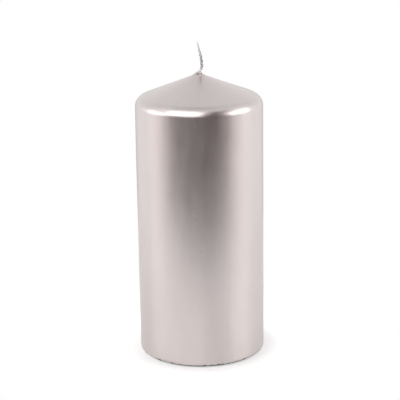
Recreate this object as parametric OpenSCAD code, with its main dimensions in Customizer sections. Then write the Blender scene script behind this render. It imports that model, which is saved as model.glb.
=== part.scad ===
// Pillar candle with a conical top, a metallic lacquer coat and a three-strand braided wick.
// Millimetres, +Z up. The origin is the centre of the base, on the surface that the candle stands on.

/* [Candle body] */
// Diameter over the lacquer
candle_d = 60; // [50:1:80]
// Height from the base to the point of the cone
candle_h = 135; // [90:1:200]
// Rise of the cone, from where its flank would meet the side up to its point
cone_rise = 11.6; // [8:0.2:15]
// Radius of the rounded shoulder, on the wax
shoulder_r = 5.2; // [4:0.1:7]
// Radius of the rounded bottom edge, on the wax
foot_r = 2.4; // [2.3:0.1:4]

/* [Layers] */
// Thickness of the hard wax jacket that is dipped over the pressed core
jacket_t = 1.8; // [1.2:0.1:2.2]
// Thickness of the metallic lacquer coat
lacquer_t = 0.2; // [0.1:0.05:0.4]
// Height above the base at which the lacquer ends, under the rounded edge
lacquer_stop = 0.4; // [0.2:0.05:1]

/* [Base] */
// Diameter of the shallow dish that the press leaves in the base
dish_d = 42; // [30:1:44]
// Depth of the dish
dish_depth = 1; // [0.6:0.1:1.5]
// Width of the dish's sloping edge
dish_slope = 2.4; // [1:0.2:4]

/* [Wick] */
// Length of wick that stands out of the cone
wick_out = 15; // [8:1:20]
// Radius of one strand of the braid
strand_r = 0.23; // [0.18:0.01:0.3]
// Distance along the wick in which a strand crosses over and back again
braid_pitch = 6; // [5:0.5:8]
// Radial play of the wick in its bore
wick_play = 0.1; // [0.05:0.05:0.3]
// Diameter of the bead of lacquered wax round the foot of the wick
bead_d = 4.6; // [4:0.1:6]
// Height of that bead above the point of the cone
bead_h = 0.6; // [0.4:0.1:2]
// Wall of the bead at its top
bead_wall = 0.4; // [0.2:0.1:0.8]
// Radius of the bead's hollow flank
bead_hollow_r = 3; // [2:0.5:6]

/* [Wick sustainer] */
// Diameter of the tinplate disc
sustainer_d = 16; // [13:0.5:20]
// Thickness of the tinplate
sheet_t = 0.3; // [0.2:0.05:0.5]
// Diameter of the raised middle of the disc
step_d = 9; // [7:0.5:11]
// Height of the raised middle
step_h = 0.8; // [0.6:0.1:1.5]
// Length of the neck that is crimped on the wick
neck_l = 7; // [5:0.5:12]
// Length of the neck's round root, below the crimp
neck_root = 2; // [1:0.5:3]
// Play between the crimped neck and the braid
crimp_play = 0.03; // [0.01:0.01:0.06]
// Play between the sustainer and the wax that it is pushed into
seat_play = 0.1; // [0.05:0.05:0.3]
// Width of the ring of wax that holds the disc's edge, measured over the disc
seal_lap = 1.2; // [0.6:0.2:2]
// Thickness of that ring below the disc
seal_t = 0.6; // [0.4:0.1:0.8]

/* [Hidden] */
$fn = 120;
cut = 1;                                       // overrun of a cut past a face

wax_colour = [0.93, 0.91, 0.86];
jacket_colour = [0.90, 0.88, 0.85];
lacquer_colour = [0.80, 0.74, 0.73];
wick_colour = [0.74, 0.72, 0.70];
tin_colour = [0.72, 0.72, 0.70];

// The wax under the lacquer. Every layer is this outline, moved out or in by a distance called grow.
wall_r = candle_d / 2 - lacquer_t;
cone_a = atan(cone_rise / (candle_d / 2));     // slope of the flank
wax_tip_z = candle_h - lacquer_t / cos(cone_a);
corner_z = wax_tip_z - wall_r * tan(cone_a);
shoulder_c = [wall_r - shoulder_r, corner_z - shoulder_r * tan((90 - cone_a) / 2)];
foot_c = [wall_r - foot_r, foot_r];

// Braid: in each pitch a strand swings across the width once and through the thickness twice.
// With these swings the strands just clear each other at every pitch in the range.
strands = 3;
strand_sides = 6;
braid_w = 1.95 * strand_r;                     // swing of a strand's middle across the braid
braid_t = 1.5 * strand_r;                      // swing through the braid
wick_half_w = braid_w + strand_r;
wick_half_t = braid_t + strand_r;
wick_bore_r = wick_half_w + wick_play;

// Sustainer: its flange lies against the core, in a pocket in the middle of the dish.
dish_r = dish_d / 2;
seat_z = jacket_t + dish_depth;
pocket_r = sustainer_d / 2 + seat_play;
step_r = step_d / 2;
neck_in_w = wick_half_w + crimp_play;
neck_in_t = wick_half_t + crimp_play;
neck_out_r = neck_in_w + sheet_t;
neck_hole_r = neck_out_r + seat_play;
crimp_corner_r = 1.45 * strand_r;              // the jaws leave a little more than a strand's own round
wick_foot_z = seat_z + step_h - 2 * sheet_t;   // the wick's cut end shows in the root of the neck

// Line of the wick above the bead: [sideways, backwards, up], all as shares of the length that stands free.
wick_route = [
    [0, 0, -0.06], [0, 0, 0], [0.04, 0, 0.045], [0.085, 0, 0.085], [0.105, 0, 0.13], [0.11, 0, 0.2],
    [0.108, 0, 0.3], [0.097, 0.01, 0.4], [0.078, 0.01, 0.5], [0.05, 0.01, 0.62], [0.022, 0.01, 0.75],
    [-0.008, 0, 0.87], [-0.04, -0.01, 1], [-0.075, -0.02, 1.13]
];
bend_z = candle_h + bead_h;                    // the wick is straight up to the top of the bead
free_out = wick_out - bead_h;
frayed = 0.45;                                 // share of the standing wick that thins towards its end
end_thickness = 0.4;                           // what is left of the braid's thickness at that end
probe = strand_r / 4;                          // half the step over which a direction is taken
hidden_rings = 12;                             // rings in a pitch, inside the candle
shown_rings = 16;                              // rings in a pitch, above it

/* Outlines */

// Half of a layer's outline, to turn about Z. The round stretches are true arcs.
module layer_outline(grow) {
    side_r = wall_r + grow;
    tip_z = wax_tip_z + grow / cos(cone_a);
    edge_z = tip_z - side_r * tan(cone_a);
    arc_r = shoulder_r + grow;
    foot_arc_r = foot_r + grow;
    flank_end = shoulder_c + arc_r * [sin(cone_a), cos(cone_a)];
    union() {
        polygon([
            [0, -grow], [foot_c.x, -grow], foot_c, [side_r, foot_c.y],
            [side_r, shoulder_c.y], shoulder_c, flank_end, [0, tip_z]
        ]);
        intersection() {
            translate(shoulder_c) circle(r = arc_r);
            polygon([shoulder_c, [side_r, shoulder_c.y], [side_r, edge_z], flank_end]);
        }
        intersection() {
            translate(foot_c) circle(r = foot_arc_r);
            polygon([foot_c, [foot_c.x, -grow], [side_r, -grow], [side_r, foot_c.y]]);
        }
    }
}

module layer_blank(grow) {
    rotate_extrude() layer_outline(grow);
}

// The dish, cut from a layer whose base is at height z.
module dish(z) {
    translate([0, 0, z - cut])
        cylinder(r = dish_r, h = cut);
    translate([0, 0, z])
        cylinder(r1 = dish_r, r2 = dish_r - dish_slope, h = dish_depth);
}

// What fills the jacket: the core before it is bored.
module core_blank() {
    difference() {
        layer_blank(-jacket_t);
        dish(jacket_t);
    }
}

module wick_bore() {
    cylinder(r = wick_bore_r, h = candle_h + cut);
}

/* Wax and lacquer */

module pressed_wax_core() {
    color(wax_colour)
        difference() {
            core_blank();
            wick_bore();
            translate([0, 0, seat_z - cut])
                cylinder(r = step_r + seat_play, h = step_h + seat_play + cut);
            translate([0, 0, seat_z])
                cylinder(r = neck_hole_r, h = step_h + neck_l + seat_play);
        }
}

module hard_wax_jacket() {
    color(jacket_colour)
        difference() {
            layer_blank(0);
            core_blank();
            dish(0);
            wick_bore();
            translate([0, 0, dish_depth - cut])
                cylinder(r = pocket_r, h = jacket_t + cut);
        }
}

module metallic_lacquer() {
    color(lacquer_colour)
        difference() {
            layer_blank(lacquer_t);
            layer_blank(0);
            wick_bore();
            translate([0, 0, lacquer_stop - 2 * cut - foot_r])
                cylinder(r = candle_d, h = 2 * cut + foot_r);
        }
}

// A drop of lacquered wax that has run together round the wick, with a hollow flank.
module tip_bead() {
    bead_r = bead_d / 2;
    rim_z = candle_h - bead_r * tan(cone_a);
    top_r = wick_bore_r + bead_wall;
    top_z = candle_h + bead_h;
    chord = [bead_r - top_r, rim_z - top_z];
    chord_l = norm(chord);
    middle = [(bead_r + top_r) / 2, (rim_z + top_z) / 2];
    outwards = [-chord.y, chord.x] / chord_l;
    hollow_c = middle + outwards * sqrt(bead_hollow_r * bead_hollow_r - chord_l * chord_l / 4);
    color(lacquer_colour)
        rotate_extrude()
            difference() {
                polygon([
                    [wick_bore_r, candle_h - wick_bore_r * tan(cone_a)],
                    [bead_r, rim_z], [bead_r, top_z], [wick_bore_r, top_z]
                ]);
                translate(hollow_c) circle(r = bead_hollow_r);
            }
}

// Wax that has flowed over the edge of the sustainer's disc.
module base_seal_ring() {
    color(wax_colour)
        translate([0, 0, seat_z - sheet_t - seal_t])
            difference() {
                cylinder(r = pocket_r, h = seal_t);
                translate([0, 0, -cut])
                    cylinder(r = sustainer_d / 2 - seal_lap, h = seal_t + 2 * cut);
            }
}

/* Wick */

// Smooth curve through the route's points: between b and c, at share t of the way.
function through(a, b, c, d, t) =
    0.5 * (2 * b + (c - a) * t + (2 * a - 5 * b + 4 * c - d) * t * t
        + (3 * b - a - 3 * c + d) * t * t * t);

// The stretch of the route that holds a share of the height.
function route_index(share) =
    max([for (i = [1 : len(wick_route) - 3]) if (share >= wick_route[i].z || i == 1) i]);

// Place of the wick's middle at height z.
function wick_at(z) =
    z <= bend_z ? [0, 0, z] :
    let (
        share = (z - bend_z) / free_out,
        i = route_index(share),
        t = (share - wick_route[i].z) / (wick_route[i + 1].z - wick_route[i].z),
        p = through(wick_route[i - 1], wick_route[i], wick_route[i + 1], wick_route[i + 2], t)
    )
    [p.x * free_out, p.y * free_out, z];

function unit(v) = v / norm(v);

function wick_direction(z) = unit(wick_at(z + probe) - wick_at(z - probe));

// The braid keeps its thickness up to the frayed end, and thins from there.
function fullness(z) =
    let (share = (z - bend_z) / free_out, from_end = (1 - share) / frayed)
    from_end >= 1 ? 1 : end_thickness + (1 - end_thickness) * max(from_end, 0);

// Middle of a strand at height z of the wick.
function strand_at(k, z) =
    let (
        turn = 360 * ((z - wick_foot_z) / braid_pitch + k / strands),
        ahead = wick_direction(z),
        across = unit(cross([0, 1, 0], ahead)),
        through_it = cross(ahead, across),
        full = fullness(z)
    )
    wick_at(z) + full * (across * braid_w * sin(turn) + through_it * braid_t * sin(2 * turn));

function strand_heights() =
    let (
        hidden_n = ceil((bend_z - wick_foot_z) / braid_pitch * hidden_rings),
        shown_n = ceil(free_out / braid_pitch * shown_rings)
    )
    concat(
        [for (i = [0 : hidden_n - 1]) wick_foot_z + (bend_z - wick_foot_z) * i / hidden_n],
        [for (i = [0 : shown_n]) bend_z + free_out * i / shown_n]
    );

module wick_strand(k) {
    heights = strand_heights();
    rings = len(heights);
    points = [
        for (z = heights)
            let (
                middle = strand_at(k, z),
                ahead = unit(strand_at(k, z + probe) - strand_at(k, z - probe)),
                side = unit(cross([0, 1, 0], ahead)),
                up = cross(ahead, side)
            )
            for (s = [0 : strand_sides - 1])
                let (a = 360 * s / strand_sides)
                middle + fullness(z) * strand_r * (side * cos(a) + up * sin(a))
    ];
    walls = [
        for (i = [0 : rings - 2], s = [0 : strand_sides - 1])
            let (
                a = i * strand_sides + s,
                b = i * strand_sides + (s + 1) % strand_sides,
                c = b + strand_sides,
                d = a + strand_sides
            )
            each [[a, c, b], [a, d, c]]
    ];
    foot = [for (s = [0 : strand_sides - 1]) s];
    end = [for (s = [strand_sides - 1 : -1 : 0]) (rings - 1) * strand_sides + s];
    color(wick_colour)
        polyhedron(points = points, faces = concat([foot], walls, [end]));
}

/* Sustainer */

// The neck's outline after crimping: a round-cornered oblong, wide along X. The corners are true arcs.
module crimp_outline(half_w, half_t, corner_r) {
    union() {
        square([2 * half_w, 2 * (half_t - corner_r)], center = true);
        square([2 * (half_w - corner_r), 2 * half_t], center = true);
        for (x = [-1, 1], y = [-1, 1])
            translate([x * (half_w - corner_r), y * (half_t - corner_r)])
                circle(r = corner_r);
    }
}

// One piece of tinplate: a flange, a raised middle, a round root and a neck that is crimped flat on the wick.
module wick_sustainer() {
    root_r = neck_in_w;
    color(tin_colour)
        translate([0, 0, seat_z])
            union() {
                rotate_extrude()
                    polygon([
                        [step_r - sheet_t, -sheet_t], [sustainer_d / 2, -sheet_t], [sustainer_d / 2, 0],
                        [step_r, 0], [step_r, step_h], [root_r + sheet_t, step_h],
                        [root_r + sheet_t, step_h + neck_root], [root_r, step_h + neck_root],
                        [root_r, step_h - sheet_t], [step_r - sheet_t, step_h - sheet_t]
                    ]);
                translate([0, 0, step_h + neck_root / 2])
                    linear_extrude(height = neck_l - neck_root / 2)
                        difference() {
                            crimp_outline(neck_in_w + sheet_t, neck_in_t + sheet_t, crimp_corner_r + sheet_t);
                            crimp_outline(neck_in_w, neck_in_t, crimp_corner_r);
                        }
            }
}

pressed_wax_core();
hard_wax_jacket();
metallic_lacquer();
tip_bead();
wick_strand(0);  // wick_strand_1
wick_strand(1);  // wick_strand_2
wick_strand(2);  // wick_strand_3
wick_sustainer();
base_seal_ring();
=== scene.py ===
"""Looks of a pillar candle with a conical top, a metallic lacquer coat and a braided wick.

Metres, +Z up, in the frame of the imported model. The solids that this script replaces stay where they are.
"""

import math

import bpy
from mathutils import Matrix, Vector, noise


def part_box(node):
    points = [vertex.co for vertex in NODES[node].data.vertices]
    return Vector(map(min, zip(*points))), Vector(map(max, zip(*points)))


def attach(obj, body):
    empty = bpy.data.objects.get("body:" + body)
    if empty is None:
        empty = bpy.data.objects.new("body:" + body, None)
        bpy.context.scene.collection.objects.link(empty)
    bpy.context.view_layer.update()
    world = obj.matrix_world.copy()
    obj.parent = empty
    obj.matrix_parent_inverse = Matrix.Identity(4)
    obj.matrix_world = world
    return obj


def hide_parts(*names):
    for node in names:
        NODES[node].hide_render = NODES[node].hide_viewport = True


bl_info = {
    "name": "Lacquered pillar candle",
    "version": (1, 0, 0),
    "blender": (4, 5, 0),
    "location": "3D View > Sidebar > Candle",
    "description": "Makes the lacquer, the wick, the wax finishes and the studio of a pillar candle",
    "category": "Object",
}

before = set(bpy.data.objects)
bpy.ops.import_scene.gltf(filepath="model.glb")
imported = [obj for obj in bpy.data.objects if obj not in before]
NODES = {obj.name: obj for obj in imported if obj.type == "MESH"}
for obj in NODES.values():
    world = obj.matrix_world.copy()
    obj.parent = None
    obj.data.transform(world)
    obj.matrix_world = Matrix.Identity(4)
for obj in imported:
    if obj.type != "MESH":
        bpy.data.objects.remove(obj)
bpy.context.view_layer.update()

MM = 0.001
COAT_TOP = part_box("metallic_lacquer")[1]
BODY_R = COAT_TOP[0]

# Outline of the coat, as in the solid: an arc at the foot, a straight side, an arc at the shoulder, a cone.
COAT_T = 0.2 * MM
TIP_Z = 135 * MM
CONE_SLOPE = 11.6 / 30
CONE_ANGLE = math.atan(CONE_SLOPE)
SHOULDER_CENTRE = (24.6 * MM, 119.70 * MM)
FOOT_CENTRE = (27.4 * MM, 2.4 * MM)
SHOULDER_R = 5.4 * MM
FOOT_R = 2.6 * MM
RIM_Z = 0.4 * MM
BORE_R = 0.7785 * MM

# The coat gathers near the point: how much thicker it gets there, and how far out that reaches.
TIP_SWELL = 0.2 * MM
SWELL_R = 14 * MM

# Below this height the coat's rim is chipped.
CHIPPED_Z = FOOT_CENTRE[1] * 0.7

# The wick's route, as in the solid: [sideways, backwards, up], as shares of the length that stands free.
WICK_FOOT_Z = 3.0 * MM
BEND_Z = 135.6 * MM
FREE_OUT = 14.4 * MM
WICK_ROUTE = [
    (0, 0, -0.06), (0, 0, 0), (0.04, 0, 0.045), (0.085, 0, 0.085), (0.105, 0, 0.13), (0.11, 0, 0.2),
    (0.108, 0, 0.3), (0.097, 0.01, 0.4), (0.078, 0.01, 0.5), (0.05, 0.01, 0.62), (0.022, 0.01, 0.75),
    (-0.008, 0, 0.87), (-0.04, -0.01, 1), (-0.075, -0.02, 1.13),
]
BRAID_PITCH = 6 * MM
STRANDS = 3

# Swings of a strand across the plait and through it, as shares of the strand's radius.
SWING_ACROSS = 1.95
SWING_THROUGH = 1.5

# Distance between the points of a ply, in the candle and outside it.
HIDDEN_STEP = 0.3 * MM
SHOWN_STEP = 0.12 * MM

# How much shorter the shortest ply is than the longest.
FRAY = 0.9 * MM

# Loose fibres of a strand, points along a fibre, and the seed of the noise that bends fibres and plies.
# Without a seed that noise differs from one run to the next.
FIBRES = 9
FIBRE_POINTS = 9
FIBRE_SEED = 1

# Colours of dark specks round the wick's foot, of the painted shade at the foot's edge, of the bead's paler
# top and of thinly coated cotton.
DARK_SPECKS = (0.15, 0.145, 0.12)
PAINTED_FOOT_SHADE = (0.11, 0.105, 0.095)
PALE_LACQUER = (0.99, 0.96, 0.95)
PALE_COTTON = (0.95, 0.92, 0.90)

# The studio. The camera's place, its target and its roll are those of the photograph.
CAMERA_PLACE = (0, -0.63645, 0.25005)
CAMERA_TARGET = (-0.000139, 0, 0.07375)
CAMERA_ROLL = math.radians(-0.819)
LAMP_TARGET = Vector((0, 0, 0.07))
TABLE_WIDTH, TABLE_BACK, TABLE_DEPTH = 0.44, 0.22, 0.012
CARD_R, CARD_FOOT = 0.95, -0.7
CARD_TINTS = ((1.0, 0.80, 0.79), (1.0, 0.955, 0.95))

# World strength by the height of a ray's direction, as two falls that are multiplied: a slow one from the
# horizon up, and one near the zenith. Each is height from and to, and strength from and to.
SKY_RANGES = ((0.05, 0.9, 0.88, 0.67), (0.88, 0.99, 1.0, 0.78))

RANGE_SOCKETS = ("From Min", "From Max", "To Min", "To Max")


# ---------------------------------------------------------------- settings

class LacquerSettings(bpy.types.PropertyGroup):
    """The metallic coat."""

    colour: bpy.props.FloatVectorProperty(
        name="Lacquer", description="Colour of the metal pigment", subtype="COLOR", size=3,
        min=0, max=1, default=(0.80, 0.735, 0.72))
    roughness: bpy.props.FloatProperty(
        name="Roughness", description="How soft the reflections are", subtype="FACTOR",
        min=0.05, max=0.8, default=0.3)
    wave: bpy.props.FloatProperty(
        name="Wave", description="Height of the slow waves in the dipped coat", unit="LENGTH",
        min=0, max=0.0005, default=0.00008)
    chip: bpy.props.FloatProperty(
        name="Rim chips", description="How far the coat is chipped away at the foot", unit="LENGTH",
        min=0, max=0.002, default=0.0007)


class WickSettings(bpy.types.PropertyGroup):
    """The plaited cotton wick."""

    strand_radius: bpy.props.FloatProperty(
        name="Strand radius", description="Radius of one strand of the plait", unit="LENGTH",
        min=0.00018, max=0.0003, default=0.00023)
    plies: bpy.props.IntProperty(
        name="Plies", description="Yarns that are twisted into a strand", min=3, max=7, default=5)
    lay: bpy.props.FloatProperty(
        name="Lay", description="Length in which a ply goes round its strand once", unit="LENGTH",
        min=0.001, max=0.006, default=0.0024)
    colour: bpy.props.FloatVectorProperty(
        name="Cotton", description="Colour of the waxed cotton", subtype="COLOR", size=3,
        min=0, max=1, default=(0.86, 0.84, 0.82))
    lacquered: bpy.props.FloatVectorProperty(
        name="Lacquered foot", description="Colour of the cotton that the dip has reached",
        subtype="COLOR", size=3, min=0, max=1, default=(0.62, 0.60, 0.59))


class WaxSettings(bpy.types.PropertyGroup):
    """The wax and the tinplate that show in the base."""

    core: bpy.props.FloatVectorProperty(
        name="Core", description="Colour of the pressed wax", subtype="COLOR", size=3,
        min=0, max=1, default=(0.82, 0.79, 0.71))
    jacket: bpy.props.FloatVectorProperty(
        name="Jacket", description="Colour of the hard wax", subtype="COLOR", size=3,
        min=0, max=1, default=(0.78, 0.75, 0.70))
    tin: bpy.props.FloatVectorProperty(
        name="Tinplate", description="Colour of the sustainer", subtype="COLOR", size=3,
        min=0, max=1, default=(0.66, 0.66, 0.64))


class StudioSettings(bpy.types.PropertyGroup):
    """The table and the camera."""

    floor: bpy.props.FloatVectorProperty(
        name="Floor", description="Colour of the table", subtype="COLOR", size=3,
        min=0, max=1, default=(0.905, 0.905, 0.905))
    table_front: bpy.props.FloatProperty(
        name="Table front", description="How far the table reaches towards the camera", unit="LENGTH",
        min=0.1, max=0.6, default=0.285)
    lens: bpy.props.FloatProperty(
        name="Lens", description="Focal length of the camera, in millimetres", min=35, max=300,
        default=124.695)


SETTINGS = {
    "candle_lacquer": LacquerSettings,
    "candle_wick": WickSettings,
    "candle_wax": WaxSettings,
    "candle_studio": StudioSettings,
}


# ---------------------------------------------------------------- modelling helpers

def clear_selection():
    """Leaves edit mode and deselects everything."""
    if bpy.context.object is not None and bpy.context.object.mode != "OBJECT":
        bpy.ops.object.mode_set(mode="OBJECT")
    bpy.ops.object.select_all(action="DESELECT")


def make_active(piece):
    """Selects one object and nothing else."""
    clear_selection()
    piece.select_set(True)
    bpy.context.view_layer.objects.active = piece


def settle(piece):
    """Applies the object's place to its mesh."""
    make_active(piece)
    bpy.ops.object.transform_apply(location=True, rotation=True, scale=True)


def turn_outwards(piece):
    """Points every face of a closed mesh outwards."""
    make_active(piece)
    bpy.ops.object.mode_set(mode="EDIT")
    bpy.ops.mesh.select_all(action="SELECT")
    bpy.ops.mesh.normals_make_consistent(inside=False)
    bpy.ops.object.mode_set(mode="OBJECT")


def ring_shell(name, outline, segments):
    """A closed turned shell: a circle that is extruded and scaled along an outline of (radius, height)."""
    clear_selection()
    first_r, first_z = outline[0]
    bpy.ops.mesh.primitive_circle_add(
        vertices=segments, radius=first_r, fill_type="NOTHING", location=(0, 0, first_z))
    piece = bpy.context.object
    piece.name = name
    piece.data.name = name
    settle(piece)
    bpy.ops.object.mode_set(mode="EDIT")
    bpy.ops.mesh.select_mode(type="VERT")
    bpy.ops.mesh.select_all(action="SELECT")
    radius, height = first_r, first_z
    for next_r, next_z in outline[1:]:
        bpy.ops.mesh.extrude_region_move(
            TRANSFORM_OT_translate={"value": (0, 0, next_z - height)})
        share = next_r / radius
        bpy.ops.transform.resize(value=(share, share, 1), center_override=(0, 0, 0))
        radius, height = next_r, next_z
    bpy.ops.mesh.select_mode(type="EDGE")
    bpy.ops.mesh.select_all(action="DESELECT")
    bpy.ops.mesh.select_non_manifold()
    bpy.ops.mesh.bridge_edge_loops()
    bpy.ops.mesh.select_mode(type="VERT")
    bpy.ops.object.mode_set(mode="OBJECT")
    turn_outwards(piece)
    return piece


def arc(centre, radius, start, end, steps):
    """Points of an arc in the outline, from one angle to another, ends included."""
    return [
        (centre[0] + radius * math.cos(start + (end - start) * i / steps),
         centre[1] + radius * math.sin(start + (end - start) * i / steps))
        for i in range(steps + 1)
    ]


def line(start, end, steps):
    """Points of a straight stretch, without its first point."""
    return [
        (start[0] + (end[0] - start[0]) * i / steps, start[1] + (end[1] - start[1]) * i / steps)
        for i in range(1, steps + 1)
    ]


def apply_modifiers(piece):
    """Applies every modifier in order."""
    make_active(piece)
    for modifier in list(piece.modifiers):
        bpy.ops.object.modifier_apply(modifier=modifier.name)


def group_of(piece, name, wanted):
    """Puts the vertices that a test accepts in a vertex group."""
    group = piece.vertex_groups.new(name=name)
    group.add([v.index for v in piece.data.vertices if wanted(v.co)], 1, "REPLACE")


def add_waves(piece, name, size, height, group="", depth=0):
    """Adds a Displace modifier that moves the surface in and out by a cloudy noise."""
    texture = bpy.data.textures.new(name, "CLOUDS")
    texture.noise_scale = size
    texture.noise_depth = depth
    waves = piece.modifiers.new(name, "DISPLACE")
    waves.texture = texture
    waves.texture_coords = "LOCAL"
    waves.strength = height
    waves.mid_level = 0.5
    waves.vertex_group = group


def on_wall(azimuth, height, radius=BODY_R):
    """Point of the side at an angle from the front, counted to the right, and a height."""
    a = math.radians(azimuth)
    return Vector((radius * math.sin(a), -radius * math.cos(a), height))


def pull(piece, place, move, reach):
    """Moves the vertex nearest to a place, and its neighbours with it, as a proportional edit does."""
    make_active(piece)
    nearest = min(piece.data.vertices, key=lambda v: (v.co - place).length_squared).index
    bpy.ops.object.mode_set(mode="EDIT")
    bpy.ops.mesh.select_mode(type="VERT")
    bpy.ops.mesh.select_all(action="DESELECT")
    bpy.ops.object.mode_set(mode="OBJECT")
    piece.data.vertices[nearest].select = True
    bpy.ops.object.mode_set(mode="EDIT")
    bpy.ops.transform.translate(
        value=move, use_proportional_edit=True, proportional_edit_falloff="SMOOTH",
        proportional_size=reach)
    bpy.ops.object.mode_set(mode="OBJECT")


def refine(piece, place, radius, cuts):
    """Subdivides the faces round a place."""
    make_active(piece)
    bpy.ops.object.mode_set(mode="EDIT")
    bpy.ops.mesh.select_mode(type="FACE")
    bpy.ops.mesh.select_all(action="DESELECT")
    bpy.ops.object.mode_set(mode="OBJECT")
    for face in piece.data.polygons:
        face.select = (face.center - place).length < radius
    bpy.ops.object.mode_set(mode="EDIT")
    bpy.ops.mesh.subdivide(number_cuts=cuts)
    bpy.ops.object.mode_set(mode="OBJECT")


def finish_piece(piece, material, slot, *nodes):
    """Gives a new piece its material and its body, and hides the parts that it replaces."""
    piece.data.materials.clear()
    piece.data.materials.append(material)
    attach(piece, "root")
    if nodes:
        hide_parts(*nodes)


# ---------------------------------------------------------------- material helpers

class Weaver:
    """Builds a node material step by step."""

    def __init__(self, name):
        self.material = bpy.data.materials.new(name)
        self.material.use_nodes = True
        self.tree = self.material.node_tree
        self.shader = self.tree.nodes["Principled BSDF"]
        self.place = self.add("ShaderNodeTexCoord").outputs["Object"]

    def add(self, kind, **settings):
        """Adds a node and sets its properties."""
        node = self.tree.nodes.new(kind)
        for key, value in settings.items():
            setattr(node, key, value)
        return node

    def join(self, value, socket):
        """Links an output to a socket, or writes a constant on it."""
        if isinstance(value, bpy.types.NodeSocket):
            self.tree.links.new(value, socket)
        else:
            socket.default_value = value

    def scaled(self, scale):
        """The object's coordinates, stretched."""
        mapping = self.add("ShaderNodeMapping")
        self.join(self.place, mapping.inputs["Vector"])
        mapping.inputs["Scale"].default_value = scale
        return mapping.outputs["Vector"]

    def noise(self, vector, scale, detail=3.0, rough=0.5):
        """Value of a noise between 0 and 1."""
        node = self.add("ShaderNodeTexNoise")
        self.join(vector, node.inputs["Vector"])
        node.inputs["Scale"].default_value = scale
        node.inputs["Detail"].default_value = detail
        node.inputs["Roughness"].default_value = rough
        return node.outputs["Fac"]

    def math(self, operation, a, b=0.0):
        """One Math node."""
        node = self.add("ShaderNodeMath", operation=operation)
        self.join(a, node.inputs[0])
        self.join(b, node.inputs[1])
        return node.outputs[0]

    def span(self, value, low, high, to_low=0.0, to_high=1.0):
        """Maps a range to another, with soft ends, and clamps it."""
        node = self.add("ShaderNodeMapRange", interpolation_type="SMOOTHSTEP")
        self.join(value, node.inputs["Value"])
        for socket, number in zip(RANGE_SOCKETS, (low, high, to_low, to_high)):
            node.inputs[socket].default_value = number
        return node.outputs["Result"]

    def apart(self):
        """The object's coordinates as three values, X, Y and Z."""
        node = self.add("ShaderNodeSeparateXYZ")
        self.join(self.place, node.inputs[0])
        return node.outputs

    def reach(self, vector):
        """Length of a vector."""
        node = self.add("ShaderNodeVectorMath", operation="LENGTH")
        self.join(vector, node.inputs[0])
        return node.outputs["Value"]

    def show(self, shader):
        """Makes another shader than the Principled one the material's surface."""
        self.join(shader.outputs[0], self.tree.nodes["Material Output"].inputs["Surface"])

    def mix(self, share, a, b):
        """Mixes two colours."""
        node = self.add("ShaderNodeMix", data_type="RGBA")
        self.join(share, node.inputs["Factor"])
        self.join(opaque(a), node.inputs[6])
        self.join(opaque(b), node.inputs[7])
        return node.outputs[2]

    def bump(self, height, strength, distance, before=None):
        """A Bump node, on top of another one when that is given."""
        node = self.add("ShaderNodeBump")
        node.inputs["Strength"].default_value = strength
        node.inputs["Distance"].default_value = distance
        self.join(height, node.inputs["Height"])
        if before is not None:
            self.join(before, node.inputs["Normal"])
        return node.outputs["Normal"]


def opaque(colour):
    """A colour with its alpha, or the socket that it comes from."""
    return colour if isinstance(colour, bpy.types.NodeSocket) else (*tuple(colour)[:3], 1.0)


def shade(colour, share):
    """A colour made darker or lighter."""
    return tuple(min(c * share, 1.0) for c in tuple(colour)[:3])


def lacquer_material(name, lacquer, speckled=0.0, dulled=0.0):
    """Satin metallic lacquer: fine flakes, faint streaks that run off the tip, a slightly uneven sheen.

    On the bead it is rougher, darker in greenish-grey specks near the wick's foot, and paler at its top.
    """
    w = Weaver(name)
    around = w.add("ShaderNodeVectorMath", operation="NORMALIZE")
    w.join(w.scaled((1, 1, 0)), around.inputs[0])
    run = w.add("ShaderNodeVectorMath", operation="ADD")
    w.join(around.outputs["Vector"], run.inputs[0])
    w.join(w.scaled((0, 0, 6)), run.inputs[1])
    streaks = w.noise(run.outputs["Vector"], 9.0, 1.5, 0.6)
    cloud = w.noise(w.place, 55.0, 2.0)
    flakes = w.noise(w.place, 5200.0, 2.0, 0.7)
    mottle = w.math("ADD", w.math("MULTIPLY", streaks, 0.5), w.math("MULTIPLY", cloud, 0.5))
    darker, lighter = shade(lacquer.colour, 0.98), shade(lacquer.colour, 1.01)
    colour = w.mix(w.span(mottle, 0.35, 0.65), darker, lighter)
    colour = w.mix(w.span(flakes, 0.45, 0.75, 0, 0.35), colour, shade(lacquer.colour, 1.12))
    if speckled:
        # Darker greenish-grey specks low on the bead, round the wick's foot.
        height = w.apart()["Z"]
        low = w.span(height, TIP_Z - 0.1 * MM, TIP_Z + 0.35 * MM, speckled, 0)
        near = w.span(w.reach(w.scaled((1, 1, 0))), 1.7 * MM, 2.2 * MM, 1, 0)
        spots = w.span(w.noise(w.place, 1100.0, 2.0, 0.5), 0.42, 0.54)
        specks = w.math("MULTIPLY", w.math("MULTIPLY", spots, low), near)
        top = w.span(height, TIP_Z + 0.5 * MM, TIP_Z + 0.9 * MM)
        colour = w.mix(top, colour, PALE_LACQUER)
        colour = w.mix(specks, colour, DARK_SPECKS)
    w.join(colour, w.shader.inputs["Base Color"])
    low, high = lacquer.roughness - 0.02 + dulled, lacquer.roughness + 0.03 + dulled
    w.join(w.span(mottle, 0.3, 0.7, low, high), w.shader.inputs["Roughness"])
    grain = w.bump(flakes, 0.12, 0.00002)
    w.join(w.bump(streaks, 0.13, 0.0002, grain), w.shader.inputs["Normal"])
    w.shader.inputs["Metallic"].default_value = 1.0
    return w.material


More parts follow.
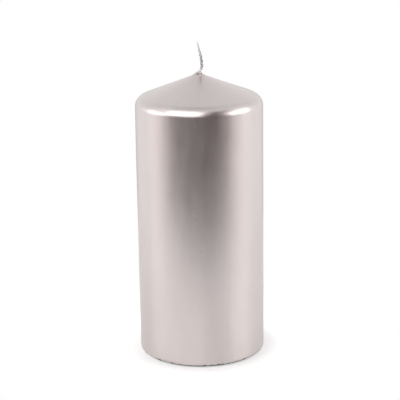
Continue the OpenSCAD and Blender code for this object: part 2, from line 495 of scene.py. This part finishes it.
def wax_material(name, colour, grain_size, grain_depth, roughness, painted_foot_shade=False):
    """Paraffin: cloudy, slightly translucent, with a crystalline grain, and, if wanted, darker at the
    foot's rounded edge with painted contact shadow.
    """
    w = Weaver(name)
    cloud = w.noise(w.place, 160.0, 4.0, 0.55)
    grain = w.add("ShaderNodeTexVoronoi", feature="SMOOTH_F1")
    w.join(w.place, grain.inputs["Vector"])
    grain.inputs["Scale"].default_value = 1 / grain_size
    fine = w.noise(w.place, 2600.0, 3.0, 0.6)
    tone = w.mix(w.span(cloud, 0.35, 0.68), shade(colour, 0.93), shade(colour, 1.04))
    tone = w.mix(w.span(grain.outputs["Distance"], 0.25, 0.7, 0, 0.6), tone, shade(colour, 0.86))
    if painted_foot_shade:
        # Painted contact shadow: the hard wax darkens towards the outside of the foot's rounded edge.
        out = w.reach(w.scaled((1, 1, 0)))
        edge = w.span(out, FOOT_CENTRE[0], FOOT_CENTRE[0] + 0.6 * MM, 0, 0.9)
        tone = w.mix(edge, tone, PAINTED_FOOT_SHADE)
    w.join(tone, w.shader.inputs["Base Color"])
    w.join(w.span(fine, 0.3, 0.7, roughness - 0.06, roughness + 0.08), w.shader.inputs["Roughness"])
    pits = w.bump(grain.outputs["Distance"], 0.5, grain_depth)
    w.join(w.bump(fine, 0.3, 0.00004, pits), w.shader.inputs["Normal"])
    w.shader.inputs["Subsurface Weight"].default_value = 0.25
    w.shader.inputs["Subsurface Radius"].default_value = (0.9, 0.75, 0.5)
    w.shader.inputs["Subsurface Scale"].default_value = 0.0012
    w.shader.inputs["IOR"].default_value = 1.44
    return w.material


def tinplate_material(name, colour):
    """Tinned steel with rolling lines and small dull spots."""
    w = Weaver(name)
    rolling = w.noise(w.scaled((40, 2600, 2600)), 1.0, 3.0, 0.6)
    dull = w.noise(w.place, 420.0, 4.0, 0.6)
    tone = w.mix(w.span(rolling, 0.3, 0.7), shade(colour, 0.88), shade(colour, 1.06))
    tone = w.mix(w.span(dull, 0.55, 0.75, 0, 0.5), tone, shade(colour, 0.72))
    w.join(tone, w.shader.inputs["Base Color"])
    w.join(w.span(dull, 0.35, 0.75, 0.24, 0.46), w.shader.inputs["Roughness"])
    w.join(w.bump(rolling, 0.2, 0.00003), w.shader.inputs["Normal"])
    w.shader.inputs["Metallic"].default_value = 1.0
    return w.material


def cotton_material(name, wick):
    """Waxed cotton yarn, pale at the bead, grey with lacquer above it and paler towards its end."""
    w = Weaver(name)
    height = w.apart()["Z"]
    rise = w.span(height, BEND_Z + 3 * MM, BEND_Z + 0.85 * FREE_OUT)
    coated = w.span(height, BEND_Z + 0.9 * MM, BEND_Z + 2.0 * MM, 0.9, 0)
    blotch = w.noise(w.place, 1500.0, 3.0, 0.6)
    hair = w.noise(w.scaled((9000, 9000, 2500)), 1.0, 3.0, 0.6)
    dipped = w.mix(w.span(blotch, 0.4, 0.62), shade(wick.lacquered, 0.6), shade(wick.lacquered, 1.4))
    clean = w.mix(w.span(blotch, 0.35, 0.65), shade(wick.colour, 0.85), shade(wick.colour, 1.15))
    tone = w.mix(rise, dipped, clean)
    tone = w.mix(coated, tone, PALE_COTTON)
    tone = w.mix(w.span(hair, 0.5, 0.7, 0, 0.4), tone, shade(wick.colour, 0.55))
    w.join(tone, w.shader.inputs["Base Color"])
    w.join(w.span(blotch, 0.3, 0.7, 0.5, 0.78), w.shader.inputs["Roughness"])
    w.join(w.bump(hair, 0.6, 0.00003), w.shader.inputs["Normal"])
    w.shader.inputs["Sheen Weight"].default_value = 0.15
    return w.material


# ---------------------------------------------------------------- pieces

def coat_outline():
    """The coat's closed outline: up the outside to the bore, and down the inside."""
    rim_angle = math.asin((RIM_Z - FOOT_CENTRE[1]) / FOOT_R)
    flank_angle = math.pi / 2 - CONE_ANGLE
    outer = arc(FOOT_CENTRE, FOOT_R, rim_angle, 0, 10)
    outer += line(outer[-1], (BODY_R, SHOULDER_CENTRE[1]), 78)
    outer += arc(SHOULDER_CENTRE, SHOULDER_R, 0, flank_angle, 18)[1:]
    flank = line(outer[-1], (BORE_R, TIP_Z - BORE_R * CONE_SLOPE), 24)
    outer += [(r, z + TIP_SWELL * max(1 - (r / SWELL_R) ** 2, 0) ** 2) for r, z in flank]
    wax_tip = TIP_Z - COAT_T / math.cos(CONE_ANGLE)
    inner = [(BORE_R, wax_tip - BORE_R * CONE_SLOPE)]
    inner += arc(SHOULDER_CENTRE, SHOULDER_R - COAT_T, flank_angle, 0, 10)
    inner += line(inner[-1], (BODY_R - COAT_T, FOOT_CENTRE[1]), 12)
    lower_angle = math.asin((RIM_Z - FOOT_CENTRE[1]) / (FOOT_R - COAT_T))
    inner += arc(FOOT_CENTRE, FOOT_R - COAT_T, 0, lower_angle, 8)[1:]
    return outer + inner


# Broad dimples: angle from the front to the right, height, reach and depth, in degrees and millimetres.
DIMPLES = [
    (31, 88, 2.6, 0.05), (96, 64, 2.4, 0.07), (141, 97, 2.0, 0.06),
    (188, 40, 2.6, 0.07), (232, 82, 2.2, 0.06), (287, 52, 2.4, 0.06),
]

# Small faults of the dip, with the same four values: pits go in, blisters have a negative depth.
FAULTS = [
    (-6.7, 74.3, 0.75, 0.045), (-4.6, 73.5, 0.65, 0.045), (0.7, 58.4, 1.3, 0.03),
    (-9.4, 57.5, 1.1, 0.025), (-15.5, 115.5, 0.7, -0.06), (17.7, 4.4, 0.8, 0.07),
    (118, 92, 0.7, -0.07), (206, 61, 0.8, 0.07), (266, 99, 0.6, -0.06),
]

# The mesh is made finer round a small fault: how far, and how many times each edge is cut.
FINE_REACH = 1.6 * MM
FINE_CUTS = 5

# Chips in the coat's lower rim: angle from the front to the right, and half width, in degrees.
RIM_CHIPS = [
    (-43.6, 2.2), (-29, 1.6), (1.7, 1.4), (7.8, 1.2), (14.4, 1.8), (18, 1.3), (41.5, 1.6),
    (74, 2.0), (103, 1.4), (128, 2.4), (165, 1.6), (201, 2.2), (236, 1.5), (262, 2.0),
    (291, 1.4),
]


def angle_from_front(co):
    """Angle of a point about the axis, from the front and counted to the right, in degrees."""
    return math.degrees(math.atan2(co.x, -co.y)) % 360


class CANDLE_OT_lacquer_coat(bpy.types.Operator):
    """Make the metallic coat, with slow waves, dimples, pits, blisters and the chips in its lower rim"""

    bl_idname = "candle.lacquer_coat"
    bl_label = "Lacquer Coat"

    def execute(self, context):
        lacquer = context.scene.candle_lacquer
        coat = ring_shell("lacquer_coat", coat_outline(), 256)
        group_of(coat, "outside", self.is_outside)
        add_waves(coat, "slow waves", 0.028, lacquer.wave * 1.2, "outside")
        add_waves(coat, "dip ripples", 0.009, lacquer.wave * 0.15, "outside")
        apply_modifiers(coat)
        for dimple in DIMPLES:
            self.dent(coat, *dimple)
        for azimuth, height, reach, depth in FAULTS:
            refine(coat, on_wall(azimuth, height * MM), FINE_REACH, FINE_CUTS)
            self.dent(coat, azimuth, height, reach, depth)
        self.chip_rim(coat, lacquer.chip)
        coat.vertex_groups.clear()
        make_active(coat)
        bpy.ops.object.shade_smooth_by_angle(angle=math.radians(40))
        finish_piece(coat, lacquer_material("satin lacquer", lacquer), "lacquer", "metallic_lacquer")
        return {"FINISHED"}

    @staticmethod
    def is_outside(co):
        """Tells the outer skin above the foot from the inner wall, with half the coat to spare."""
        spare = 0.1 * MM
        radius = math.hypot(co.x, co.y)
        if co.z <= SHOULDER_CENTRE[1]:
            return radius > BODY_R - spare and co.z > FOOT_CENTRE[1]
        if radius <= SHOULDER_CENTRE[0]:
            return co.z + radius * CONE_SLOPE > TIP_Z - spare
        arm = Vector((radius - SHOULDER_CENTRE[0], co.z - SHOULDER_CENTRE[1]))
        return arm.length > SHOULDER_R - spare

    @staticmethod
    def dent(coat, azimuth, height, reach, depth):
        """Pushes a place on the side in, or out where the depth is negative."""
        inward = -on_wall(azimuth, 0, 1.0) * depth * MM
        pull(coat, on_wall(azimuth, height * MM), inward, reach * MM)

    @staticmethod
    def chip_rim(coat, chip):
        """Slides the lower rim up along the foot's arc, a little all round and more at the chips."""
        worn = 0.75 * MM
        for vertex in coat.data.vertices:
            if vertex.co.z > CHIPPED_Z:
                continue
            here = angle_from_front(vertex.co)
            ragged = noise.noise(Vector((here * 0.45, 0, 0)))
            ragged += 0.6 * noise.noise(Vector((here * 1.7, 3, 0)))
            lift = worn + 0.2 * chip * ragged
            for azimuth, half in RIM_CHIPS:
                away = abs((here - azimuth + 180) % 360 - 180) / half
                lift += chip * max(0, 1 - away * away)
            spread = 1 - (vertex.co.z - RIM_Z) / (CHIPPED_Z - RIM_Z)
            middle = Vector((vertex.co.x, vertex.co.y, 0)).normalized() * FOOT_CENTRE[0]
            middle.z = FOOT_CENTRE[1]
            arm = vertex.co - middle
            drop = FOOT_CENTRE[1] - (vertex.co.z + lift * max(spread, 0))
            outwards = Vector((arm.x, arm.y, 0)).normalized()
            flat = outwards * math.sqrt(max(arm.length * arm.length - drop * drop, 0))
            vertex.co = middle + flat - Vector((0, 0, drop))


class CANDLE_OT_tip_bead(bpy.types.Operator):
    """Make the drop of lacquered wax round the foot of the wick, with the lumps that melted into it"""

    bl_idname = "candle.tip_bead"
    bl_label = "Tip Bead"

    # Lumps in the bead: sideways, backwards, above the cone's point, and half sizes, in millimetres.
    LUMPS = [
        (0.65, -0.5, 1.1, 0.85, 0.6, 0.62), (-0.4, -0.85, 0.45, 0.6, 0.5, 0.5),
        (-1.15, -0.6, -0.15, 0.45, 0.45, 0.4), (0.5, -1.35, -0.4, 0.45, 0.4, 0.35),
        (1.25, -0.5, -0.05, 0.4, 0.4, 0.35), (-0.9, 0.8, 0.1, 0.55, 0.5, 0.45),
        (0.6, 1.05, 0.0, 0.6, 0.45, 0.45), (1.2, 0.5, 0.0, 0.4, 0.45, 0.4),
    ]

    def execute(self, context):
        lacquer = context.scene.candle_lacquer
        bead = ring_shell("tip_wax_bead", self.outline(), 48)
        lumps = [self.lump(*place) for place in self.LUMPS]
        make_active(bead)
        for lump in lumps:
            lump.select_set(True)
        bpy.ops.object.join()
        melt = bead.modifiers.new("melted together", "REMESH")
        melt.mode = "VOXEL"
        melt.voxel_size = 0.07 * MM
        soften = bead.modifiers.new("softened", "SMOOTH")
        soften.factor = 0.5
        soften.iterations = 6
        add_waves(bead, "bead lumps", 0.0007, 0.00016, depth=1)
        apply_modifiers(bead)
        turn_outwards(bead)
        make_active(bead)
        bpy.ops.object.shade_smooth()
        finish_piece(bead, lacquer_material("bead lacquer", lacquer, 0.75, 0.3), "lacquer", "tip_bead")
        return {"FINISHED"}

    @staticmethod
    def outline():
        """The bead's closed outline: along the cone, a little sunk in it, up the hollow flank and back."""
        sunk = 0.15 * MM
        foot_r, top_r = 3.6 * MM, 1.0 * MM
        outline = [(BORE_R, TIP_Z - BORE_R * CONE_SLOPE - sunk)]
        outline += line(outline[-1], (foot_r, TIP_Z - foot_r * CONE_SLOPE - sunk), 4)
        return outline + [
            (foot_r * 0.97, TIP_Z - foot_r * CONE_SLOPE + 0.17 * MM),
            (2.6 * MM, TIP_Z - 0.72 * MM),
            (1.9 * MM, TIP_Z - 0.38 * MM),
            (1.4 * MM, TIP_Z - 0.02 * MM),
            (1.15 * MM, TIP_Z + 0.25 * MM),
            (top_r, BEND_Z),
            (BORE_R, BEND_Z),
        ]

    @staticmethod
    def lump(x, y, z, half_x, half_y, half_z):
        """A lump of wax, squashed on the cone."""
        clear_selection()
        bpy.ops.mesh.primitive_ico_sphere_add(
            subdivisions=3, radius=MM, location=(x * MM, y * MM, TIP_Z + z * MM))
        lump = bpy.context.object
        bpy.ops.object.mode_set(mode="EDIT")
        bpy.ops.mesh.select_all(action="SELECT")
        bpy.ops.transform.resize(value=(half_x, half_y, half_z), center_override=lump.location)
        bpy.ops.object.mode_set(mode="OBJECT")
        settle(lump)
        return lump


def wick_at(z):
    """Place of the wick's middle at a height, on a smooth curve through the route's points."""
    if z <= BEND_Z:
        return Vector((0, 0, z))
    share = (z - BEND_Z) / FREE_OUT
    i = 1
    while i < len(WICK_ROUTE) - 3 and share >= WICK_ROUTE[i + 1][2]:
        i += 1
    before, here, there, after = (Vector(p) for p in WICK_ROUTE[i - 1:i + 3])
    t = (share - here.z) / (there.z - here.z)
    p = 0.5 * (2 * here + (there - before) * t + (2 * before - 5 * here + 4 * there - after) * t * t
               + (3 * here - before - 3 * there + after) * t * t * t)
    return Vector((p.x * FREE_OUT, p.y * FREE_OUT, z))


def fullness(z):
    """The plait thins towards its frayed end."""
    from_end = (1 - (z - BEND_Z) / FREE_OUT) / 0.45
    return 1 if from_end >= 1 else 0.3 + 0.7 * max(from_end, 0)


def strand_at(k, z, radius):
    """Middle of a strand at a height, and the two directions across the wick there."""
    turn = 2 * math.pi * ((z - WICK_FOOT_Z) / BRAID_PITCH + k / STRANDS)
    ahead = (wick_at(z + 0.06 * MM) - wick_at(z - 0.06 * MM)).normalized()
    across = Vector((0, 1, 0)).cross(ahead).normalized()
    through = ahead.cross(across)
    swing = across * SWING_ACROSS * radius * math.sin(turn)
    swing += through * SWING_THROUGH * radius * math.sin(2 * turn)
    return wick_at(z) + fullness(z) * swing, across, through


class CANDLE_OT_wick(bpy.types.Operator):
    """Make the three strands of the wick, each of twisted plies with a frayed end and loose fibres"""

    bl_idname = "candle.wick"
    bl_label = "Wick"

    def execute(self, context):
        wick = context.scene.candle_wick
        cotton = cotton_material("waxed cotton", wick)
        noise.seed_set(FIBRE_SEED)
        for k in range(STRANDS):
            strand = self.strand(k, wick)
            finish_piece(strand, cotton, "wick_cotton", f"wick_strand_{k + 1}")
        return {"FINISHED"}

    def strand(self, k, wick):
        """One strand as a bundle of plies, made as round curves and turned into a mesh."""
        clear_selection()
        bpy.ops.curve.primitive_nurbs_path_add(location=(0, 0, 0))
        strand = bpy.context.object
        strand.name = f"wick_yarn_{k + 1}"
        curve = strand.data
        curve.splines.clear()
        curve.bevel_depth = 1.0
        curve.bevel_resolution = 1
        curve.use_fill_caps = True
        for ply in range(wick.plies):
            end = BEND_Z + FREE_OUT - FRAY * ((ply * 2 + k) % 5) / 4
            self.add_line(curve, self.ply_points(k, ply, end, wick))
        for fibre in range(FIBRES):
            self.add_line(curve, self.fibre_points(k, fibre, wick))
        make_active(strand)
        bpy.ops.object.convert(target="MESH")
        strand = bpy.context.object
        strand.data.name = strand.name
        bpy.ops.object.shade_smooth()
        return strand

    @staticmethod
    def ply_points(k, ply, end, wick):
        """Points and radii of one ply, from the sustainer to the frayed end."""
        ply_r = wick.strand_radius * 0.48
        around = wick.strand_radius * 0.66
        hidden = int((BEND_Z - MM - WICK_FOOT_Z) / HIDDEN_STEP)
        heights = [WICK_FOOT_Z + i * HIDDEN_STEP for i in range(hidden)]
        z = heights[-1]
        while z < end - SHOWN_STEP:
            z += SHOWN_STEP
            heights.append(z)
        points = []
        for z in heights:
            middle, across, through = strand_at(k, z, wick.strand_radius)
            turn = 2 * math.pi * ((z - WICK_FOOT_Z) / wick.lay + ply / wick.plies)
            full = fullness(z)
            wild = noise.noise_vector(Vector((z / MM * 0.9, ply * 3.1, k * 5.3)))
            shown = min(max((z - BEND_Z) / (3 * MM), 0), 1)
            at = middle + full * around * (across * math.cos(turn) + through * math.sin(turn))
            at += wild * wick.strand_radius * 0.28 * shown
            swell = 1 + 0.22 * shown * noise.noise(Vector((z / MM * 2.3, ply * 7.7, k * 2.9)))
            tail = min(max((end - z) / (1.6 * MM), 0.12), 1)
            points.append((at, ply_r * full * swell * tail ** 0.5))
        return points

    @staticmethod
    def fibre_points(k, fibre, wick):
        """A loose fibre that leaves the strand and curls away."""
        seed = Vector((fibre * 1.37 + 0.2, k * 2.11 + 0.4, 0.7))
        z0 = BEND_Z + FREE_OUT * (0.25 + 0.73 * fibre / (FIBRES - 1))
        start, across, through = strand_at(k, z0, wick.strand_radius)
        out = noise.noise_vector(seed).normalized()
        heading = (out * 0.4 + Vector((-0.25, 0, 0.9))).normalized()
        points = []
        at = start.copy()
        for i in range(FIBRE_POINTS):
            points.append((at.copy(), wick.strand_radius * 0.07 * (1 - 0.09 * i)))
            bend = noise.noise_vector(seed * 2 + Vector((i * 0.31, 0, 0)))
            heading = (heading + bend * 0.3).normalized()
            at += heading * SHOWN_STEP
        return points

    @staticmethod
    def add_line(curve, points):
        """Adds a run of points with radii to a curve."""
        run = curve.splines.new("POLY")
        run.points.add(len(points) - 1)
        for point, (at, radius) in zip(run.points, points):
            point.co = (*at, 1)
            point.radius = radius


class CANDLE_OT_foot_crumbs(bpy.types.Operator):
    """Make the crumbs of pale wax that cling to the foot where the coat is chipped"""

    bl_idname = "candle.foot_crumbs"
    bl_label = "Foot Crumbs"

    def execute(self, context):
        wax = context.scene.candle_wax
        crumbs = [
            self.crumb(azimuth, (0.42 + 0.05 * (i % 3)) * MM, i)
            for i, (azimuth, half) in enumerate(RIM_CHIPS)
        ]
        make_active(crumbs[0])
        for crumb in crumbs[1:]:
            crumb.select_set(True)
        bpy.ops.object.join()
        piece = bpy.context.object
        piece.name = "foot_crumbs"
        piece.data.name = "foot_crumbs"
        bpy.ops.object.shade_smooth_by_angle(angle=math.radians(25))
        material = wax_material("crumb wax", wax.jacket, 0.0006, 0.00005, 0.45)
        finish_piece(piece, material, "jacket_wax")
        return {"FINISHED"}

    @staticmethod
    def crumb(azimuth, size, seed):
        """One crumb, a dented and flattened ball that sits on the foot's arc."""
        clear_selection()
        low, arm = math.radians(-44), FOOT_R - 0.05 * MM
        height = FOOT_CENTRE[1] + arm * math.sin(low)
        place = on_wall(azimuth, height, FOOT_CENTRE[0] + arm * math.cos(low))
        bpy.ops.mesh.primitive_ico_sphere_add(subdivisions=3, radius=size, location=place)
        crumb = bpy.context.object
        bpy.ops.object.mode_set(mode="EDIT")
        bpy.ops.mesh.select_all(action="SELECT")
        wide = 1.15 + 0.6 * noise.noise(Vector((seed * 1.3, 2.2, 0.4)))
        bpy.ops.transform.resize(value=(wide, 0.6, 0.55), center_override=place)
        bpy.ops.transform.rotate(
            value=math.radians(-azimuth), orient_axis="Z", center_override=place)
        bpy.ops.object.mode_set(mode="OBJECT")
        settle(crumb)
        add_waves(crumb, f"crumb dents {seed}", 0.0004, 0.0005)
        apply_modifiers(crumb)
        return crumb


class CANDLE_OT_wax_and_tin(bpy.types.Operator):
    """Give the wax, the seal ring and the wick sustainer their finishes"""

    bl_idname = "candle.wax_and_tin"
    bl_label = "Wax and Tinplate"

    def execute(self, context):
        wax = context.scene.candle_wax
        pressed = wax_material("pressed wax", wax.core, 0.0011, 0.00016, 0.55)
        poured = wax_material("hard wax", wax.jacket, 0.004, 0.00005, 0.38, painted_foot_shade=True)
        melted = wax_material("seal wax", wax.core, 0.0025, 0.00006, 0.32)
        tin = tinplate_material("tinplate", wax.tin)
        finishes = {
            "pressed_wax_core": pressed, "hard_wax_jacket": poured,
            "base_seal_ring": melted, "wick_sustainer": tin,
        }
        for name, material in finishes.items():
            for slot in NODES[name].material_slots:
                slot.material = material
        return {"FINISHED"}


# ---------------------------------------------------------------- studio

def aim(thing, target, roll=0.0):
    """Points an object's -Z axis at a place, and rolls it about that axis."""
    turn = (Vector(target) - thing.location).to_track_quat("-Z", "Y").to_matrix().to_4x4()
    thing.rotation_euler = turn.to_euler()
    thing.rotation_euler.rotate_axis("Z", roll)


def direction(azimuth, elevation):
    """Unit vector from the candle, by the angle from the front to the right and the angle above level."""
    a, e = math.radians(azimuth), math.radians(elevation)
    return Vector((math.sin(a) * math.cos(e), -math.cos(a) * math.cos(e), math.sin(e)))


class CANDLE_OT_studio(bpy.types.Operator):
    """Make the table, the two cards that the lacquer mirrors, the softboxes, the world and the camera"""

    bl_idname = "candle.studio"
    bl_label = "Studio"

    # Softboxes: name, azimuth, elevation, distance, width, height, radiance.
    SOFTBOXES = [
        ("softbox front left", -27, 32.3, 0.8, 0.90, 0.62, 1.8),
        ("softbox left", -80, 13.5, 0.8, 0.60, 0.25, 1.5),
        ("softbox right", 74, 18.5, 0.8, 0.60, 0.38, 1.7),
    ]

    def execute(self, context):
        studio = context.scene.candle_studio
        self.table(studio)
        middle, edge, back = math.radians(35.5), math.radians(95), math.radians(140)
        front_grade, back_grade = (middle, edge, 0.075, 1.0), (back, math.pi, 0.88, 0.25)
        self.card("dark_card", edge, False, 1.15, front_grade, shift=0.022, pinch=0.27)
        self.card("back_card", back, True, 0.12, back_grade)
        for box in self.SOFTBOXES:
            self.softbox(*box)
        self.world(context.scene)
        self.camera(context.scene, studio)
        context.scene.view_settings.view_transform = "Standard"
        return {"FINISHED"}

    @staticmethod
    def table(studio):
        """A small table, white round the candle, dark at its front edge by painted shade and lighter at its
        sides by painted light.

        Away from the candle it fades, for the camera alone, to the white of the background.
        """
        clear_selection()
        front, back = studio.table_front, TABLE_BACK
        bpy.ops.mesh.primitive_cube_add(
            size=1, location=(0, (back - front) / 2, -TABLE_DEPTH / 2),
            scale=(TABLE_WIDTH, back + front, TABLE_DEPTH))
        table = bpy.context.object
        table.name = "table"
        settle(table)
        edge = table.modifiers.new("rounded edge", "BEVEL")
        edge.width = 0.006
        edge.segments = 4
        apply_modifiers(table)
        w = Weaver("white table")
        place = w.apart()
        # Painted shade: the table's colour darkens towards its front edge.
        dim = w.span(place["Y"], -front, -0.12)
        # Painted light: the colour is lighter to the right of the candle and far to its left, making up for
        # less light there.
        right = w.span(place["X"], 0.02, 0.08)
        left = w.span(place["X"], -0.18, -0.12, 1, 0)
        tone = w.mix(w.math("MAXIMUM", left, right), studio.floor, shade(studio.floor, 1.07))
        w.join(w.mix(dim, shade(studio.floor, 0.35), tone), w.shader.inputs["Base Color"])
        w.shader.inputs["Roughness"].default_value = 0.4
        w.shader.inputs["Specular IOR Level"].default_value = 0.4
        # Radii from the candle's axis. The foot's edge stands at 0.0285 to 0.0315.
        away = w.reach(w.place)
        camera_ray = w.add("ShaderNodeLightPath").outputs["Is Camera Ray"]
        # For the camera alone, a stronger glow under the foot's overhang lightens the contact shadow there:
        # painted light.
        under = w.span(away, 0.0285, 0.0315, 0.45, 0.24)
        lift = w.math("MAXIMUM", under, w.span(away, 0.031, 0.048, 0.24, 0.53))
        glow = w.add("ShaderNodeEmission")
        w.join(w.math("MULTIPLY", lift, camera_ray), glow.inputs["Strength"])
        both = w.add("ShaderNodeAddShader")
        w.join(w.shader.outputs[0], both.inputs[0])
        w.join(glow.outputs[0], both.inputs[1])
        seen = w.add("ShaderNodeMixShader")
        w.join(w.math("MULTIPLY", w.span(away, 0.05, 0.10), camera_ray), seen.inputs[0])
        w.join(both.outputs[0], seen.inputs[1])
        w.join(w.add("ShaderNodeEmission").outputs[0], seen.inputs[2])
        w.show(seen)
        table.data.materials.append(w.material)

    @staticmethod
    def card(name, limit, behind, top, grade, shift=0.0, pinch=0.0):
        """A card curved round the candle, dark in its middle, that the camera doesn't see.

        It spans the angles from the front up to a limit, or those behind the limit. Its strength is graded
        by that angle. The shift moves its middle to the left, and the pinch narrows the dark part low down.
        """
        clear_selection()
        bpy.ops.mesh.primitive_circle_add(
            vertices=120, radius=CARD_R, fill_type="NOTHING", location=(0, 0, CARD_FOOT))
        card = bpy.context.object
        card.name = name
        settle(card)
        bpy.ops.object.mode_set(mode="EDIT")
        bpy.ops.mesh.select_mode(type="VERT")
        bpy.ops.mesh.select_all(action="SELECT")
        bpy.ops.mesh.extrude_region_move(TRANSFORM_OT_translate={"value": (0, 0, top - CARD_FOOT)})
        bpy.ops.mesh.select_mode(type="FACE")
        bpy.ops.mesh.select_all(action="DESELECT")
        bpy.ops.object.mode_set(mode="OBJECT")
        for face in card.data.polygons:
            here = abs((angle_from_front(face.center) + 180) % 360 - 180)
            face.select = (math.radians(here) < limit) == behind
        bpy.ops.object.mode_set(mode="EDIT")
        bpy.ops.mesh.delete(type="FACE")
        bpy.ops.object.mode_set(mode="OBJECT")
        w = Weaver(f"graded {name}")
        place = w.apart()
        azimuth = w.math("ARCTAN2", place["X"], w.math("MULTIPLY", place["Y"], -1.0))
        aside = w.math("ABSOLUTE", w.math("ADD", azimuth, shift))
        aside = w.math("ADD", aside, w.span(place["Z"], -0.25, -0.09, pinch, 0))
        strength = w.span(aside, *grade)
        glow = w.add("ShaderNodeEmission")
        w.join(w.mix(w.span(strength, 0.1, 0.5), *CARD_TINTS), glow.inputs["Color"])
        w.join(strength, glow.inputs["Strength"])
        w.tree.nodes.remove(w.shader)
        w.show(glow)
        card.data.materials.append(w.material)
        card.visible_camera = False

    @staticmethod
    def softbox(name, azimuth, elevation, distance, width, height, radiance):
        """A rectangular lamp that faces the candle, and that the camera doesn't see."""
        place = LAMP_TARGET + direction(azimuth, elevation) * distance
        bpy.ops.object.light_add(type="AREA", location=place)
        lamp = bpy.context.object
        lamp.name = name
        lamp.data.shape = "RECTANGLE"
        lamp.data.size = width
        lamp.data.size_y = height
        lamp.data.energy = radiance * math.pi * width * height
        lamp.visible_camera = False
        aim(lamp, LAMP_TARGET)

    @staticmethod
    def world(scene):
        """White for the camera. For everything else pale at the horizon and grey overhead."""
        world = bpy.data.worlds.new("studio")
        scene.world = world
        world.use_nodes = True
        tree = world.node_tree
        background = tree.nodes["Background"]
        place = tree.nodes.new("ShaderNodeTexCoord")
        apart = tree.nodes.new("ShaderNodeSeparateXYZ")
        sky = tree.nodes.new("ShaderNodeMath")
        sky.operation = "MULTIPLY"
        for slot, ranges in enumerate(SKY_RANGES):
            height = tree.nodes.new("ShaderNodeMapRange")
            for socket, number in zip(RANGE_SOCKETS, ranges):
                height.inputs[socket].default_value = number
            tree.links.new(apart.outputs["Z"], height.inputs["Value"])
            tree.links.new(height.outputs["Result"], sky.inputs[slot])
        path = tree.nodes.new("ShaderNodeLightPath")
        either = tree.nodes.new("ShaderNodeMath")
        either.operation = "MAXIMUM"
        tree.links.new(place.outputs["Generated"], apart.inputs[0])
        tree.links.new(path.outputs["Is Camera Ray"], either.inputs[0])
        tree.links.new(sky.outputs[0], either.inputs[1])
        tree.links.new(either.outputs[0], background.inputs["Strength"])
        background.inputs["Color"].default_value = (1, 1, 1, 1)

    @staticmethod
    def camera(scene, studio):
        """A camera at the photograph's place, slightly rolled as the photograph is."""
        bpy.ops.object.camera_add(location=CAMERA_PLACE)
        camera = bpy.context.object
        camera.name = "camera"
        camera.data.lens = studio.lens
        camera.data.sensor_width = 36
        camera.data.clip_start = 0.01
        aim(camera, CAMERA_TARGET, CAMERA_ROLL)
        scene.camera = camera


# ---------------------------------------------------------------- panel and running

OPERATORS = (
    CANDLE_OT_studio, CANDLE_OT_lacquer_coat, CANDLE_OT_tip_bead, CANDLE_OT_wick,
    CANDLE_OT_foot_crumbs, CANDLE_OT_wax_and_tin,
)


class CANDLE_PT_tools(bpy.types.Panel):
    """Sidebar panel with the candle's settings and its pieces"""

    bl_label = "Pillar Candle"
    bl_idname = "CANDLE_PT_tools"
    bl_space_type = "VIEW_3D"
    bl_region_type = "UI"
    bl_category = "Candle"

    def draw(self, context):
        for name in SETTINGS:
            group = getattr(context.scene, name)
            box = self.layout.box()
            for key in group.__annotations__:
                box.prop(group, key)
        for operator in OPERATORS:
            self.layout.operator(operator.bl_idname)


def register():
    """Adds the settings to the scene, and the operators and the panel to Blender."""
    for name, group in SETTINGS.items():
        bpy.utils.register_class(group)
        setattr(bpy.types.Scene, name, bpy.props.PointerProperty(type=group))
    for operator in OPERATORS:
        bpy.utils.register_class(operator)
    bpy.utils.register_class(CANDLE_PT_tools)


def unregister():
    """Takes everything out again, in the opposite order."""
    bpy.utils.unregister_class(CANDLE_PT_tools)
    for operator in reversed(OPERATORS):
        bpy.utils.unregister_class(operator)
    for name, group in reversed(SETTINGS.items()):
        delattr(bpy.types.Scene, name)
        bpy.utils.unregister_class(group)


def main():
    """Runs every operator once."""
    register()
    for operator in OPERATORS:
        group, call = operator.bl_idname.split(".")
        getattr(getattr(bpy.ops, group), call)()


if __name__ == "__main__":
    main()
